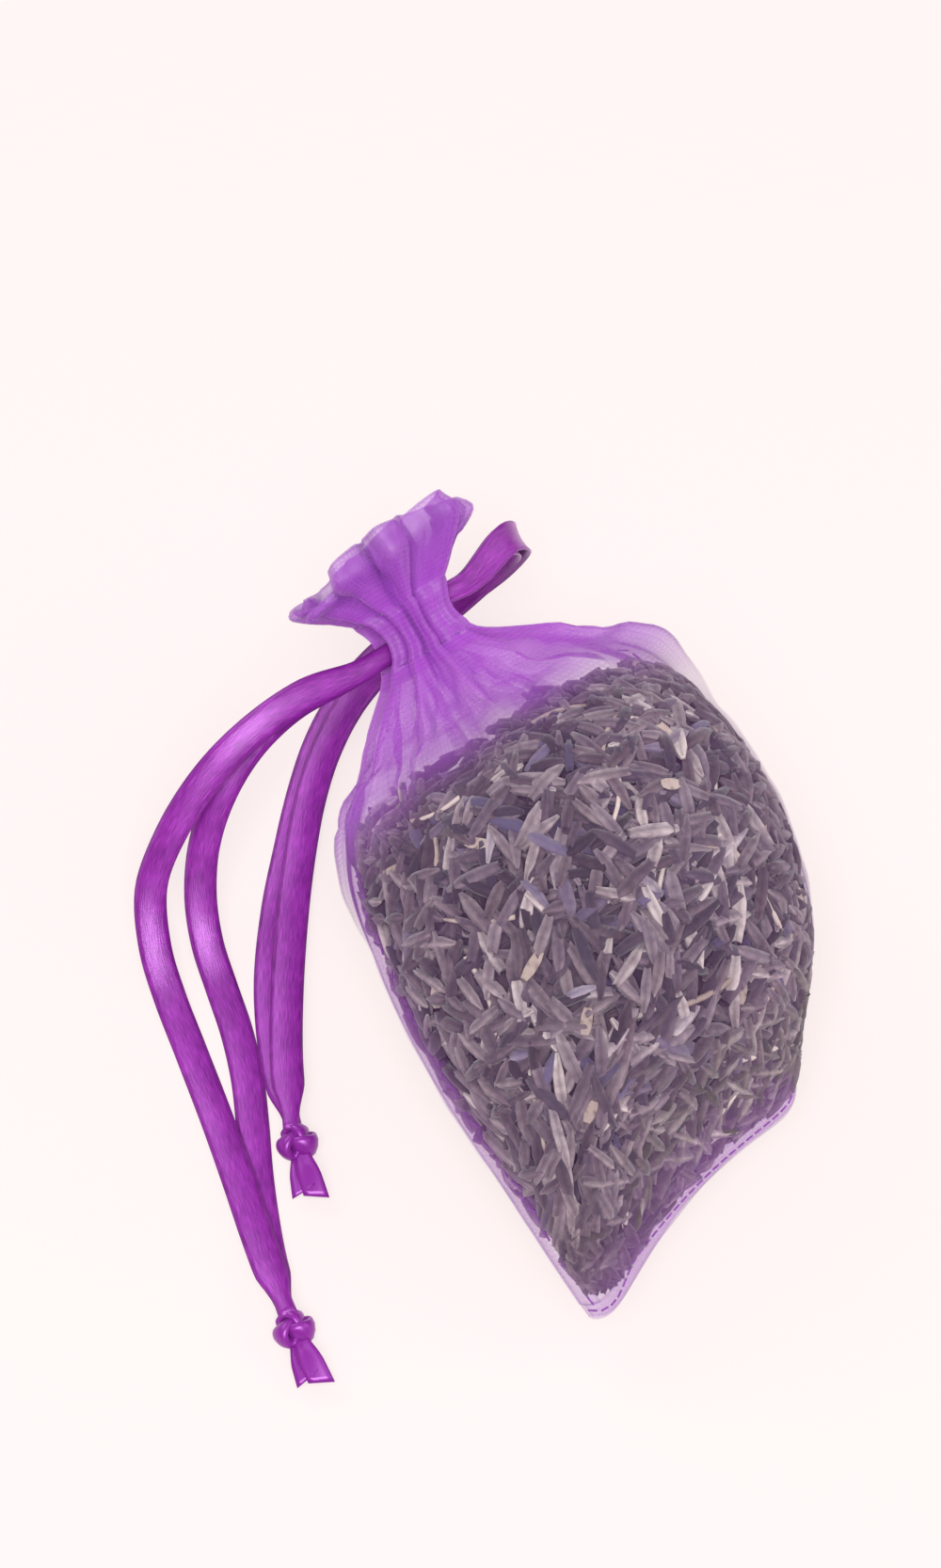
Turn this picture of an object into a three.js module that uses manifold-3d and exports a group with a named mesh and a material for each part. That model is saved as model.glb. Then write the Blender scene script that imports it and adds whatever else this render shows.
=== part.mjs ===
import * as THREE from 'three';
import { mergeVertices } from 'three/addons/utils/BufferGeometryUtils.js';
import Module from 'manifold-3d';

// A drawstring pouch of sheer organza, filled with dried lavender and lying on its back.
// X runs across the pouch, Y from the bottom seam to the ruffle and Z up from the table.

// Driving dimensions, in millimetres
const bodyLength = 68;
const bodyWidth = 48.6;
const cornerWidth = 36;
const cornerRound = 2.5;
const frontBulge = 18.5;
const backBulge = 15.5;
const cornerLift = 8;
const seamLift = 13.6;
const seamSlant = 4.4;
const seamDip = 3;
const neckRadius = 5;
const neckLift = 18.5;
const bottomLean = -14.4;
const shoulderLean = -4;
const neckLean = -4;
const neckTilt = THREE.MathUtils.degToRad(30);
const headingRise = 8;
const flareRadius = 9.6;
const flarePower = 1.2;
const sideDroop = 3;
const foldRise = 0.15;
const hemTurn = 2;
const clothThickness = 0.5;
const ribbonWidth = 3.5;
const creasedWidth = 2.2;
const ribbonThickness = 0.6;
const threadDiameter = 0.5;
const seamThreadDiameter = 0.9;
const clearance = 0.3;
const budLength = 6.5;
const budDiameter = 2.1;
const budSettle = 0.4;
const heapCover = 0.8;
const lumpHeight = 1.5;
const pitReach = 4.4;
const stemLength = 8.5;
const stemDiameter = 0.9;
const knotLength = 5.4;
const knotDiameter = 4.8;
const cutEndLength = 5;
const pullTravel = 5;

// Pleats: waves across each panel, and their height at the neck and at the ruffle's edge
const pleatCount = 5;
const neckPleat = 0.3;
const rufflePleat = 2.6;

// Folds that run from the neck down over the shoulders of each panel
const foldCount = 5;
const foldHeight = 2.3;

// Shares of the body's length where the gathers start and where the lavender lies
const gatherStart = 0.62;
const fillStart = 0.075;
const fillEnd = 0.8;

// Facets and counts
const panelColumns = 32;
const bodyRows = [0, 0.04, 0.1, 0.18, 0.28, 0.4, 0.52, 0.64, 0.75, 0.84, 0.915];
const headingRows = [0.3, 0.6, 0.82, 1];
const tailSteps = 24;
const heapRowCount = 18;
const looseCount = 10;
const stemEvery = 5;

// The casing holds two ribbons side by side, creased lengthwise, between two rows of stitching
const casingHeight = 2 * creasedWidth + threadDiameter + 3 * clearance;
const leftRibbonHeight = threadDiameter / 2 + clearance + creasedWidth / 2;
const rightRibbonHeight = leftRibbonHeight + creasedWidth + clearance;
const slotHalfWidth = ribbonThickness + 1.5 * clearance;
const slotInset = (threadDiameter + clearance) / 2;
const tunnelDepth = ribbonThickness + 2 * clearance;
const stitchDepth = threadDiameter + 2 * clearance;
const hemDepth = clearance;
const heapDepth = budSettle + budDiameter + clearance;
const seamRoom = seamThreadDiameter + 3 * clearance;
const neckAxis = new THREE.Vector3(0, Math.cos(neckTilt), Math.sin(neckTilt));
const neckNormal = new THREE.Vector3(0, -Math.sin(neckTilt), Math.cos(neckTilt));

// Values at even steps from the bottom seam to the neck, each read as a smooth curve
const halfWidth = bodyWidth / 2 - clothThickness;
const neckInside = neckRadius - clothThickness;
const halfWidths = [
  cornerWidth / 2 - clothThickness,
  0.9 * halfWidth,
  halfWidth,
  0.98 * halfWidth,
  0.82 * halfWidth,
  neckInside,
];
const frontRises = [0, 0.72, 0.98, 1, 0.8].map((share) => share * frontBulge).concat(neckInside);
const backRises = [0, 0.72, 0.98, 1, 0.8].map((share) => share * backBulge).concat(neckInside);
const seamHeights = [
  cornerLift,
  0.86 * seamLift,
  0.98 * seamLift,
  1.04 * seamLift,
  0.4 * seamLift + 0.5 * neckLift + 0.6,
  neckLift,
];
const seamLeans = [
  bottomLean,
  0.72 * bottomLean,
  0.51 * bottomLean,
  0.37 * bottomLean,
  shoulderLean,
  neckLean,
];
const sectionPower = 0.95;

const wasm = await Module();
wasm.setup();
const rightAngle = Math.PI / 2;

function alongBody(values, share) {
  const curve = new THREE.SplineCurve(values.map((value, step) => new THREE.Vector2(step, value)));
  return curve.getPoint(share).y;
}

// Sections of the pouch: body, neck and flared heading
function bodySection(share) {
  const gather = THREE.MathUtils.smoothstep(share, gatherStart, 1);
  const lean = alongBody(seamLeans, share);
  const height = alongBody(seamHeights, share);
  const folding = THREE.MathUtils.smoothstep(share, 0.6, 0.86);
  const closing = THREE.MathUtils.smoothstep(share, 0.88, 1);
  return {
    centre: new THREE.Vector3(lean, bodyLength * share, height),
    tilt: neckTilt * gather,
    width: alongBody(halfWidths, share),
    front: alongBody(frontRises, share),
    back: alongBody(backRises, share),
    slot: clearance / 2,
    pleat: neckPleat * gather,
    fold: foldHeight * folding * (1 - closing),
    seamFade: (1 - share) ** 2,
    droop: 0,
  };
}

function neckSection(height, slot) {
  const neck = bodySection(1);
  return { ...neck, slot, centre: neck.centre.clone().addScaledVector(neckAxis, height) };
}

function headingSection(share, lift = 0) {
  const neck = neckSection(casingHeight + headingRise * share + lift, clearance / 2);
  const radius = neckInside + (flareRadius - neckRadius) * share ** flarePower;
  const pleat = THREE.MathUtils.lerp(neckPleat, rufflePleat, share);
  const droop = sideDroop * share * share;
  return { ...neck, width: radius, front: radius, back: radius, pleat, droop };
}

// Rounded ridges with sharper valleys between them, unevenly spaced
function foldWave(side, angle) {
  const warp = 0.12 * Math.sin(2.3 * angle + 0.9 * side) + 0.05 * Math.sin(9 * angle);
  const ridge = Math.abs(Math.sin(foldCount * (angle + warp) + 0.4 * side));
  return 1 - 2 * ridge ** 0.75;
}

// A point of the cloth at an angle across the panel, depth in from the cloth's inner face
function clothPoint(section, side, angle, depth) {
  const rise = side > 0 ? section.front : section.back;
  const facing = Math.max(Math.cos(angle), 0);
  const normal = new THREE.Vector2(
    Math.sin(angle) / section.width,
    facing / Math.max(rise, 0.001),
  ).normalize();
  const folds = section.fold * foldWave(side, angle) * THREE.MathUtils.smoothstep(facing, 0, 0.25);
  const offset = section.pleat * Math.cos(2 * pleatCount * angle) + folds - depth;
  const across = section.width * Math.sin(angle) + offset * normal.x;
  const out = side * (section.slot + rise * facing ** sectionPower + offset * normal.y);
  const edge = across / section.width;
  const dip = seamDip * (1 - edge * edge) + cornerRound * edge ** 10;
  const along = section.seamFade * (seamSlant * edge + dip);
  const height = section.centre.z + Math.cos(section.tilt) * out;
  const point = new THREE.Vector3(
    section.centre.x + across,
    section.centre.y + along - Math.sin(section.tilt) * out,
    Math.max(height, clothThickness + depth),
  );
  return point.addScaledVector(neckAxis, -section.droop * Math.sin(angle) ** 2);
}

function spread(from, to, steps) {
  return Array.from({ length: steps + 1 }, (_, step) => from + ((to - from) * step) / steps);
}

function geometryOf(corners) {
  const geometry = new THREE.BufferGeometry().setFromPoints(corners);
  geometry.computeVertexNormals();
  return geometry;
}

function addQuad(corners, a, b, c, d) {
  corners.push(a, b, c, a, c, d);
}

// A sheet with two faces, given as columns of points, closed along its four edges
function sheetSolid(upper, lower, side) {
  const corners = [];
  const quad = (a, b, c, d) => (side > 0 ? addQuad(corners, a, b, c, d) : addQuad(corners, d, c, b, a));
  const lastColumn = upper.length - 1;
  const lastRow = upper[0].length - 1;
  for (let i = 0; i < lastColumn; i++) {
    for (let k = 0; k < lastRow; k++) {
      quad(upper[i][k], upper[i + 1][k], upper[i + 1][k + 1], upper[i][k + 1]);
      quad(lower[i][k + 1], lower[i + 1][k + 1], lower[i + 1][k], lower[i][k]);
    }
    quad(lower[i][0], lower[i + 1][0], upper[i + 1][0], upper[i][0]);
    quad(upper[i][lastRow], upper[i + 1][lastRow], lower[i + 1][lastRow], lower[i][lastRow]);
  }
  for (let k = 0; k < lastRow; k++) {
    quad(upper[0][k], upper[0][k + 1], lower[0][k + 1], lower[0][k]);
    quad(lower[lastColumn][k], lower[lastColumn][k + 1], upper[lastColumn][k + 1], upper[lastColumn][k]);
  }
  return geometryOf(corners);
}

// A solid through rings of points that turn the right-hand way about their path
function sweptSolid(rings) {
  const corners = [];
  const sides = rings[0].length;
  for (let i = 0; i < rings.length - 1; i++) {
    for (let k = 0; k < sides; k++) {
      const next = (k + 1) % sides;
      addQuad(corners, rings[i][k], rings[i][next], rings[i + 1][next], rings[i + 1][k]);
    }
  }
  const last = rings[rings.length - 1];
  for (let k = 1; k < sides - 1; k++) {
    corners.push(rings[0][0], rings[0][k + 1], rings[0][k]);
    corners.push(last[0], last[k], last[k + 1]);
  }
  return geometryOf(corners);
}

function ringAt(point, across, up, outline) {
  return outline.map(([a, b]) => point.clone().addScaledVector(across, a).addScaledVector(up, b));
}

function roundOutline(diameter, sides) {
  return spread(0, 2 * Math.PI, sides)
    .slice(0, sides)
    .map((turn) => [(diameter / 2) * Math.cos(turn), (diameter / 2) * Math.sin(turn)]);
}

// The flat section of the ribbon, with its edges rounded by one chamfer
function ribbonOutline(width) {
  const half = width / 2;
  const edge = ribbonThickness / 2;
  const chamfer = ribbonThickness / 4;
  return [
    [half, -chamfer],
    [half, chamfer],
    [half - chamfer, edge],
    [chamfer - half, edge],
    [-half, chamfer],
    [-half, -chamfer],
    [chamfer - half, -edge],
    [half - chamfer, -edge],
  ];
}

function bandOutline(width) {
  return [[1, -1], [1, 1], [-1, 1], [-1, -1]].map(([a, b]) => [(a * width) / 2, (b * ribbonThickness) / 2]);
}

function joinSolids(geometries) {
  const solids = geometries.map((geometry) => {
    const bare = geometry.clone();
    bare.deleteAttribute('normal');
    bare.deleteAttribute('uv');
    const merged = mergeVertices(bare, 0.001);
    const vertProperties = new Float32Array(merged.attributes.position.array);
    const triVerts = new Uint32Array(merged.index.array);
    return new wasm.Manifold(new wasm.Mesh({ numProp: 3, vertProperties, triVerts }));
  });
  const joined = solids.reduce((sum, solid) => sum.add(solid)).getMesh();
  const geometry = new THREE.BufferGeometry();
  geometry.setAttribute('position', new THREE.BufferAttribute(joined.vertProperties, 3));
  geometry.setIndex(new THREE.BufferAttribute(joined.triVerts, 1));
  geometry.computeVertexNormals();
  return geometry;
}

const bag = new THREE.Group();

function addPiece(name, geometry, colour, roughness) {
  const material = new THREE.MeshStandardMaterial({ color: colour, roughness, metalness: 0 });
  const mesh = new THREE.Mesh(geometry, material);
  mesh.name = name;
  bag.add(mesh);
  return mesh;
}

const organza = [0x8e3fb0, 0.55];
const satin = [0x7a1e82, 0.35];
const thread = [0x6a1b84, 0.6];
const driedFlower = [0x6e5f66, 0.9];
const straw = [0xbfa98f, 0.85];

// One panel of organza: body, casing and ruffle, then folded at the top and hemmed inside
function panelSolid(side) {
  const hemShare = 1 - hemTurn / bodyLength;
  const casing = [
    [neckSection(0, clearance / 2), stitchDepth],
    [neckSection(slotInset, slotHalfWidth), tunnelDepth],
    [neckSection(casingHeight - slotInset, slotHalfWidth), tunnelDepth],
    [neckSection(casingHeight, clearance / 2), stitchDepth],
  ];
  const heading = headingRows.map((share) => [headingSection(share), hemDepth]);
  const gathered = [[bodySection(hemShare), hemDepth], ...casing, ...heading];
  const outside = [...bodyRows.map((share) => [bodySection(share), hemDepth]), ...gathered];
  const outerLayer = outside.map(([section]) => ({
    upper: (angle) => clothPoint(section, side, angle, -clothThickness),
    lower: (angle) => clothPoint(section, side, angle, 0),
  }));
  const fold = {
    upper: (angle) => clothPoint(headingSection(1, foldRise + clothThickness), side, angle, hemDepth / 2),
    lower: (angle) => clothPoint(headingSection(1, foldRise), side, angle, hemDepth / 2),
  };
  const hem = gathered.reverse().map(([section, depth]) => ({
    upper: (angle) => clothPoint(section, side, angle, depth + clothThickness),
    lower: (angle) => clothPoint(section, side, angle, depth),
  }));
  const stations = [...outerLayer, fold, ...hem];
  const angles = spread(-rightAngle, rightAngle, panelColumns);
  const upper = angles.map((angle) => stations.map((station) => station.upper(angle)));
  const lower = angles.map((angle) => stations.map((station) => station.lower(angle)));
  return sheetSolid(upper, lower, side);
}

addPiece('front_panel', panelSolid(1), ...organza);
addPiece('back_panel', panelSolid(-1), ...organza);

// Half of a ring inside the casing, from the left seam to the right in front and back again behind
function halfRing(section, side, depth, outline) {
  return spread(-side * rightAngle, side * rightAngle, panelColumns).map((angle) => {
    const point = clothPoint(section, side, angle, depth);
    const out = new THREE.Vector3(Math.sin(angle), 0, 0);
    out.addScaledVector(neckNormal, side * Math.cos(angle));
    return ringAt(point, neckAxis, out, outline);
  });
}

// Rows of stitching that close the casing below and above
const stitchRows = { lower: 0, upper: casingHeight };
const panelSides = { front: 1, back: -1 };
for (const [row, height] of Object.entries(stitchRows)) {
  for (const [panel, side] of Object.entries(panelSides)) {
    const section = neckSection(height, clearance / 2);
    const rings = halfRing(section, side, stitchDepth / 2, roundOutline(threadDiameter, 5));
    addPiece(`${panel}_${row}_casing_stitching`, sweptSolid(rings), ...thread);
  }
}

// Seam thread inside the side seams and along the bottom seam
const seamOutline = roundOutline(seamThreadDiameter, 6);
const seamDepth = 2 * clearance + seamThreadDiameter / 2;
for (const [name, angle] of [['left', -rightAngle], ['right', rightAngle]]) {
  const rings = bodyRows.filter((share) => share >= fillStart).map((share) => {
    const section = { ...bodySection(share), slot: 0, pleat: 0 };
    const up = new THREE.Vector3(0, -Math.sin(section.tilt), Math.cos(section.tilt));
    return ringAt(clothPoint(section, 1, angle, seamDepth), up, new THREE.Vector3(1, 0, 0), seamOutline);
  });
  addPiece(`${name}_seam_thread`, sweptSolid(rings), ...thread);
}
const bottomRings = spread(-0.9, 0.9, 16).map((angle) => {
  const section = { ...bodySection(0.03), slot: 0, front: 0 };
  const point = clothPoint(section, 1, angle, 0);
  return ringAt(point, new THREE.Vector3(0, 1, 0), new THREE.Vector3(0, 0, 1), seamOutline);
});
addPiece('bottom_seam_thread', sweptSolid(bottomRings), ...thread);

// Each ribbon runs once round the casing and leaves through the slit on its own side
function ribbonLoop(height, firstSide) {
  const section = neckSection(height, slotHalfWidth);
  const first = halfRing(section, firstSide, tunnelDepth / 2, bandOutline(creasedWidth));
  const second = halfRing(section, -firstSide, tunnelDepth / 2, bandOutline(creasedWidth));
  return sweptSolid([...first, ...second]);
}
addPiece('left_ribbon_loop', ribbonLoop(leftRibbonHeight, 1), ...satin);
addPiece('right_ribbon_loop', ribbonLoop(rightRibbonHeight, -1), ...satin);

// Free ribbon ends: routes from beside the neck to the knot, lying on the table
const leftFrontRoute = [
  [-19, 69.8, 20.4], [-25.6, 69.7, 19.4], [-31.6, 69.3, 16.4], [-37.2, 68.2, 11.8], [-41.5, 66.2, 7],
  [-44.2, 61.8, 3.2], [-45.8, 56.6, 1.2], [-47.2, 50.7, 0.5], [-48.7, 44.7, 0.6], [-50.3, 38.8, 1.2],
  [-51.9, 33.2, 1.45], [-53.4, 28.1, 1.6], [-54.7, 23.4, 2.1], [-55.6, 19.6, 2.85],
];
const leftBackRoute = [
  [-19, 70.2, 19.2], [-25.1, 69.7, 17.6], [-30.1, 68.5, 14.2], [-34.2, 66.4, 9.8], [-37.1, 63.4, 5.6],
  [-39.1, 59.4, 2.4], [-40.5, 54.5, 0.8], [-42, 49.3, 0.45], [-44.1, 44, 0.45], [-46.7, 39, 0.45],
  [-49.5, 34, 0.45], [-52, 29, 0.55], [-54.1, 24.2, 1.1], [-55.6, 19.6, 1.95],
];
const rightFrontRoute = [
  [10.6, 73.6, 20.6], [13.5, 74.8, 17], [14.1, 76.5, 12.2], [12.6, 78.3, 7.2], [8.3, 79.9, 2.9],
  [2.5, 80.3, 0.8], [-3.5, 79.5, 0.45], [-9.2, 77.4, 0.45], [-14.5, 74.2, 0.45], [-19.5, 70, 0.45],
  [-24.8, 64.8, 0.45], [-30.5, 58.8, 0.45], [-36, 51.8, 0.5], [-40.4, 44, 0.9], [-43.2, 36.8, 1.95],
];
const rightBackRoute = [
  [10.3, 74.1, 19.4], [12.5, 75.2, 16.2], [12.9, 76.7, 12], [11.4, 78, 7.9], [7.7, 78.9, 4.2],
  [2.5, 78.9, 2.2], [-3.5, 77.9, 1.5], [-9.2, 75.8, 1.4], [-14.5, 72.6, 1.4], [-19.5, 68.4, 1.4],
  [-24.4, 63.2, 1.4], [-29.5, 57.1, 1.4], [-34.6, 50.4, 1.45], [-39.4, 43.4, 1.9], [-43.2, 36.8, 2.85],
];

// A tail starts creased inside the casing, runs straight out of the slit, opens and turns flat
function ribbonTail(height, sign, layer, route) {
  const middle = neckSection(height, 0).centre;
  const stack = layer * (ribbonThickness + clearance) / 2;
  const straight = [neckInside - pullTravel - clearance, neckRadius, neckRadius + ribbonWidth].map((reach) =>
    middle.clone().addScaledVector(neckNormal, stack).add(new THREE.Vector3(sign * reach, 0, 0)));
  const free = route.map(([x, y, z]) => new THREE.Vector3(x, y, z));
  const curve = new THREE.CatmullRomCurve3([...straight, ...free], false, 'centripetal');
  const length = curve.getLength();
  const up = new THREE.Vector3(0, 0, 1);
  const rings = spread(0, 1, tailSteps).map((share) => {
    const tangent = curve.getTangentAt(share);
    const flat = tangent.clone().cross(up).normalize();
    const across = neckAxis.clone().lerp(flat, THREE.MathUtils.smoothstep(share, 0.3, 0.5));
    across.addScaledVector(tangent, -across.dot(tangent)).normalize();
    const opening = THREE.MathUtils.smoothstep(share * length, neckRadius, neckRadius + 3 * ribbonWidth);
    const width = THREE.MathUtils.lerp(creasedWidth, ribbonWidth, opening);
    return ringAt(curve.getPointAt(share), across, tangent.clone().cross(across), ribbonOutline(width));
  });
  return sweptSolid(rings);
}
addPiece('left_front_tail', ribbonTail(leftRibbonHeight, -1, 1, leftFrontRoute), ...satin);
addPiece('left_back_tail', ribbonTail(leftRibbonHeight, -1, -1, leftBackRoute), ...satin);
addPiece('right_front_tail', ribbonTail(rightRibbonHeight, 1, 1, rightFrontRoute), ...satin);
addPiece('right_back_tail', ribbonTail(rightRibbonHeight, 1, -1, rightBackRoute), ...satin);

// Overhand knot that ties the two ends of a ribbon together, with a slanting wrap and two cut ends
function knotSolid() {
  const radius = knotDiameter / 2;
  const lump = new THREE.LatheGeometry(
    [[0, -0.5], [0.55, -0.5], [0.9, -0.3], [0.82, 0], [0.9, 0.28], [0.5, 0.5], [0, 0.5]].map(
      ([out, along]) => new THREE.Vector2(out * radius, along * knotLength),
    ),
    10,
  );
  const wrapRadius = 0.24 * knotDiameter;
  const wrap = new THREE.TorusGeometry(radius - wrapRadius, wrapRadius, 6, 12);
  wrap.rotateX(rightAngle - THREE.MathUtils.degToRad(18));
  const cutOutline = ribbonOutline(ribbonWidth).map(([a, b]) => [b, a]).reverse();
  const ends = [-1, 1].map((sign) => {
    const splay = new THREE.Vector3(0.35 * sign, 1, 0).normalize();
    const across = new THREE.Vector3(1, -0.35 * sign, 0).normalize();
    const start = new THREE.Vector3(sign * 0.2 * radius, 0, (sign * ribbonThickness) / 2);
    const rings = spread(0, 1, 2).map((share) => {
      const point = start.clone().addScaledVector(splay, share * (knotLength / 2 + cutEndLength));
      return ringAt(point, new THREE.Vector3(0, 0, 1), across, cutOutline);
    });
    return sweptSolid(rings);
  });
  return joinSolids([lump, wrap, ...ends]);
}

function addKnot(name, route) {
  const end = new THREE.Vector3(...route[route.length - 1]);
  const before = new THREE.Vector3(...route[route.length - 2]);
  const heading = end.clone().sub(before).setZ(0).normalize();
  const knot = addPiece(name, knotSolid(), ...satin);
  knot.position.copy(end).addScaledVector(heading, clearance + knotLength / 2).setZ(knotDiameter / 2);
  knot.quaternion.setFromUnitVectors(new THREE.Vector3(0, 1, 0), heading);
}
addKnot('left_knot', leftFrontRoute);
addKnot('right_knot', rightFrontRoute);

// Loose buds and bits of stem lie on the heap against the front panel
const goldenAngle = Math.PI * (3 - Math.sqrt(5));
const heapMiddle = 0.42;
const heapReach = 0.25;
const heapSpan = 0.74;

function loosePlace(index) {
  const reach = Math.sqrt((index + 0.5) / looseCount);
  const angle = Math.asin(heapSpan * reach * Math.cos(index * goldenAngle));
  const share = heapMiddle + heapReach * reach * Math.sin(index * goldenAngle);
  const at = (turn, along, depth) => clothPoint(bodySection(share + along), 1, angle + turn, depth);
  const across = at(0.02, 0, 0).sub(at(-0.02, 0, 0)).normalize();
  const along = at(0, 0.01, 0).sub(at(0, -0.01, 0)).normalize();
  const yaw = 1.7 * index * goldenAngle;
  const isStem = index % stemEvery === stemEvery - 1;
  const axis = across.multiplyScalar(Math.cos(yaw)).addScaledVector(along, Math.sin(yaw)).normalize();
  const length = isStem ? stemLength : budLength;
  const middle = at(0, 0, heapDepth - (isStem ? stemDiameter : budDiameter) / 2);
  const ends = [-1, 1].map((sign) => middle.clone().addScaledVector(axis, (sign * length) / 2));
  return { isStem, axis, middle, line: new THREE.Line3(...ends) };
}
const loosePlaces = Array.from({ length: looseCount }, (_, index) => loosePlace(index));

const budProfile = [[0, -0.5], [0.5, -0.47], [0.86, -0.2], [1, 0.12], [0.78, 0.36], [0.6, 0.5], [0, 0.5]];
loosePlaces.forEach(({ isStem, axis, middle }, index) => {
  const number = Math.floor(index / stemEvery) + 1;
  const geometry = isStem
    ? new THREE.CylinderGeometry(stemDiameter / 2, 0.4 * stemDiameter, stemLength, 6)
    : new THREE.LatheGeometry(
      budProfile.map(([out, along]) => new THREE.Vector2((out * budDiameter) / 2, along * budLength)),
      6,
    );
  const piece = isStem
    ? addPiece(`lavender_stem_${number}`, geometry, ...straw)
    : addPiece(`lavender_bud_${index + 2 - number}`, geometry, ...driedFlower);
  piece.position.copy(middle);
  piece.quaternion.setFromUnitVectors(new THREE.Vector3(0, 1, 0), axis);
});

// The heap fills the pouch below the gathers, lumpy with buds, with pits where the loose ones lie
function heapRing(row, size) {
  const share = THREE.MathUtils.lerp(fillStart, fillEnd, row / heapRowCount);
  const section = bodySection(share);
  const cover = heapCover * (1 + THREE.MathUtils.smoothstep(share, 0.5, 0.65));
  const lumpAt = (column) => cover + ((row + column) % 2) * lumpHeight;
  const depthAt = (angle, depth) =>
    THREE.MathUtils.lerp(seamRoom, depth, THREE.MathUtils.smoothstep(Math.cos(angle), 0, 0.45));
  const pitAt = (angle, depth) => {
    const point = clothPoint(section, 1, angle, heapDepth / 2);
    const nearest = new THREE.Vector3();
    const gaps = loosePlaces.map(({ line }) => {
      line.closestPointToPoint(point, true, nearest);
      return nearest.distanceTo(point);
    });
    return Math.min(...gaps) < pitReach ? heapDepth + clearance : depth;
  };
  const angles = spread(-rightAngle, rightAngle, panelColumns);
  const front = angles.map((angle, column) => {
    const depth = pitAt(-angle, lumpAt(column));
    return clothPoint(section, 1, -angle, depthAt(angle, depth));
  });
  const back = angles.map((angle, column) => clothPoint(section, -1, angle, depthAt(angle, lumpAt(column))));
  return [...front, ...back].map((point) => point.lerp(section.centre, 1 - size)).reverse();
}
const heapRings = spread(0, heapRowCount, heapRowCount).map((row) => {
  const isEnd = row === 0 || row === heapRowCount;
  return heapRing(row, isEnd ? 0.8 : 1);
});
heapRings.push(heapRing(heapRowCount + 0.4, 0.4));
addPiece('lavender_fill', sweptSolid(heapRings), ...driedFlower);

// The origin lies on the table below the middle of the pouch, measured without the free ribbon
const pouch = new THREE.Box3();
for (const piece of bag.children.filter((child) => !/_tail$|_knot$/.test(child.name))) {
  pouch.expandByObject(piece, true);
}
bag.position.set(-(pouch.min.x + pouch.max.x) / 2, -(pouch.min.y + pouch.max.y) / 2, -pouch.min.z);

const sachet = new THREE.Group();
sachet.add(bag);
export default sachet;
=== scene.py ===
import math
import random
from functools import partial

import bmesh
import bpy
from mathutils import Matrix, Vector, noise


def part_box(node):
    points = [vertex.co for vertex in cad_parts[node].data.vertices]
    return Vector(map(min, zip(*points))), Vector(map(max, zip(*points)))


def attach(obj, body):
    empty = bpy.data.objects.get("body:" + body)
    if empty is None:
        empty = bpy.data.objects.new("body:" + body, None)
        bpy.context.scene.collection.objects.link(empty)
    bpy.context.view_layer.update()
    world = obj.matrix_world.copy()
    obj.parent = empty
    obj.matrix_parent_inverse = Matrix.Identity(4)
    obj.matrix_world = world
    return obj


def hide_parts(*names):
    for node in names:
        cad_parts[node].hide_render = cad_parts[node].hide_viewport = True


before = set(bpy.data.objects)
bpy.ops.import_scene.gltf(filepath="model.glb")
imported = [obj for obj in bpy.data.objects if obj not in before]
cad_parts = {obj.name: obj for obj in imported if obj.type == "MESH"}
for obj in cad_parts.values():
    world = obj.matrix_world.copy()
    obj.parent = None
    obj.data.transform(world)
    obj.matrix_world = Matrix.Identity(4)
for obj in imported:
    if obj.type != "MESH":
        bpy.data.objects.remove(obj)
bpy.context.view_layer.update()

mm = 0.001
rightAngle = math.pi / 2
fullTurn = 2 * math.pi
scene = bpy.context.scene

# the pouch as it was sewn, filled and laid on its back, sizes in millimetres as in the solids
pouch = {
    "bodyLength": 68, "bodyWidth": 48.6, "cornerWidth": 36, "cornerRound": 2.5, "cornerTuck": 2.4,
    "frontBulge": 18.5, "backBulge": 15.5, "cornerLift": 8, "seamLift": 13.6, "seamSlant": 4.4, "seamDip": 3,
    "seamGap": 0.05, "sectionPower": 0.95, "bottomLean": -14.4, "shoulderLean": -4, "neckLean": -4,
    "neckRadius": 5, "neckLift": 18.5, "neckTilt": math.radians(30), "gatherStart": 0.62,
    "headingRise": 8, "flareRadius": 9.6, "flarePower": 1.2, "clothThickness": 0.5, "clearance": 0.3, "columns": 32,
    "ribbonWidth": 3.5, "creasedWidth": 2.2, "ribbonThickness": 0.6, "threadDiameter": 0.5, "pullTravel": 5,
}
halfWidth = pouch["bodyWidth"] / 2 - pouch["clothThickness"]
neckInside = pouch["neckRadius"] - pouch["clothThickness"]
# six stations from the bottom to the neck; the right bottom corner tucks in, the left one stays
halfWidths = [(pouch["cornerWidth"] - pouch["cornerTuck"]) / 2 - pouch["clothThickness"],
              0.9 * halfWidth, halfWidth, 0.98 * halfWidth, 0.82 * halfWidth, neckInside]
riseShares = [0, 0.72, 0.98, 1, 0.8]
frontRises = [share * pouch["frontBulge"] for share in riseShares] + [neckInside]
backRises = [share * pouch["backBulge"] for share in riseShares] + [neckInside]
seamHeights = [pouch["cornerLift"], *(share * pouch["seamLift"] for share in (0.86, 0.98, 1.04)),
               0.4 * pouch["seamLift"] + 0.5 * pouch["neckLift"] + 0.6, pouch["neckLift"]]
seamLeans = [pouch["bottomLean"] - pouch["cornerTuck"] / 2,
             *(share * pouch["bottomLean"] for share in (0.72, 0.51, 0.37)), pouch["shoulderLean"], pouch["neckLean"]]
casingHeight = 2 * pouch["creasedWidth"] + pouch["threadDiameter"] + 3 * pouch["clearance"]
leftRibbonHeight = pouch["threadDiameter"] / 2 + pouch["clearance"] + pouch["creasedWidth"] / 2
rightRibbonHeight = leftRibbonHeight + pouch["creasedWidth"] + pouch["clearance"]
slotHalfWidth = pouch["ribbonThickness"] + 1.5 * pouch["clearance"]
tunnelDepth = pouch["ribbonThickness"] + 2 * pouch["clearance"]
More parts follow.
